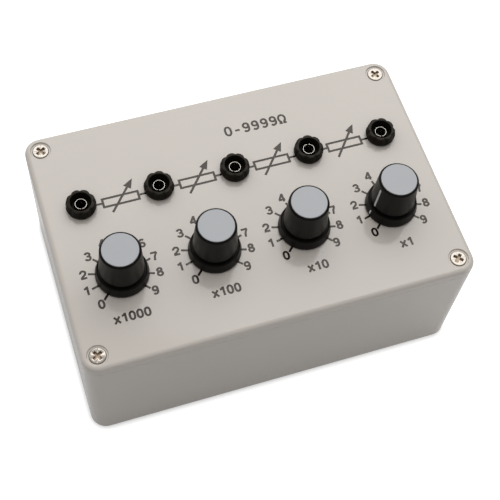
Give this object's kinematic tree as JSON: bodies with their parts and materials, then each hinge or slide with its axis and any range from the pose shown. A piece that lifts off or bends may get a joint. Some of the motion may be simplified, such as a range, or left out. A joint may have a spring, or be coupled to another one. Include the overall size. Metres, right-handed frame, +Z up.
{
  "type": "decade resistance box",
  "caption": "Bench box of switched decade resistors: moulded case with a screwed lid, a row of plug sockets and a row of turning selector knobs.",
  "frame": {"origin": "centre of the case's underside, on the bench", "axes": "+Z up, +X along the case's length towards the units decade, +Y from the knobs towards the sockets"},
  "size_m": [0.15, 0.1, 0.0768],
  "materials": {
    "case_grey": "smooth glossy light warm grey ABS",
    "nickel": "bright nickel plate",
    "socket_black": "satin black moulding",
    "nut_black": "satin black moulding",
    "knob_black": "fine satin black moulding",
    "cap_grey": "matt cool grey moulding",
    "brass": "turned",
    "spindle_metal": "turned, plated",
    "housing_black": "moulded",
    "wafer_brown": "laminated board",
    "resistor_blue": "lacquered"
  },
  "bodies": {
    "box": {"enclosure_base": "case_grey", "lid": "case_grey", "lid_screw_1": "nickel", "lid_screw_2": "nickel", "lid_screw_3": "nickel", "lid_screw_4": "nickel", "socket_1_body": "socket_black", "socket_1_contact": "nickel", "socket_1_nut": "nut_black", "socket_2_body": "socket_black", "socket_2_contact": "nickel", "socket_2_nut": "nut_black", "socket_3_body": "socket_black", "socket_3_contact": "nickel", "socket_3_nut": "nut_black", "socket_4_body": "socket_black", "socket_4_contact": "nickel", "socket_4_nut": "nut_black", "socket_5_body": "socket_black", "socket_5_contact": "nickel", "socket_5_nut": "nut_black", "switch_1_housing": "housing_black", "switch_1_nut": "nickel", "switch_1_wafer": "wafer_brown", "decade_1_resistors": "resistor_blue", "switch_2_housing": "housing_black", "switch_2_nut": "nickel", "switch_2_wafer": "wafer_brown", "decade_2_resistors": "resistor_blue", "switch_3_housing": "housing_black", "switch_3_nut": "nickel", "switch_3_wafer": "wafer_brown", "decade_3_resistors": "resistor_blue", "switch_4_housing": "housing_black", "switch_4_nut": "nickel", "switch_4_wafer": "wafer_brown", "decade_4_resistors": "resistor_blue"},
    "selector_1": {"switch_1_rotor": "spindle_metal", "knob_1_skirt": "knob_black", "knob_1_body": "knob_black", "knob_1_cap": "cap_grey", "knob_1_collet": "brass"},
    "selector_2": {"switch_2_rotor": "spindle_metal", "knob_2_skirt": "knob_black", "knob_2_body": "knob_black", "knob_2_cap": "cap_grey", "knob_2_collet": "brass"},
    "selector_3": {"switch_3_rotor": "spindle_metal", "knob_3_skirt": "knob_black", "knob_3_body": "knob_black", "knob_3_cap": "cap_grey", "knob_3_collet": "brass"},
    "selector_4": {"switch_4_rotor": "spindle_metal", "knob_4_skirt": "knob_black", "knob_4_body": "knob_black", "knob_4_cap": "cap_grey", "knob_4_collet": "brass"}
  },
  "joints": [
    {"name": "selector_1_turn", "type": "hinge", "parent": "box", "child": "selector_1", "pos_m": [-0.0525, -0.0155, 0.058], "axis": [0, 0, 1], "range_deg": [-120, 150]},
    {"name": "selector_2_turn", "type": "hinge", "parent": "box", "child": "selector_2", "pos_m": [-0.0175, -0.0155, 0.058], "axis": [0, 0, 1], "range_deg": [-120, 150]},
    {"name": "selector_3_turn", "type": "hinge", "parent": "box", "child": "selector_3", "pos_m": [0.0175, -0.0155, 0.058], "axis": [0, 0, 1], "range_deg": [-120, 150]},
    {"name": "selector_4_turn", "type": "hinge", "parent": "box", "child": "selector_4", "pos_m": [0.0525, -0.0155, 0.058], "axis": [0, 0, 1], "range_deg": [-240, 30]}
  ]
}
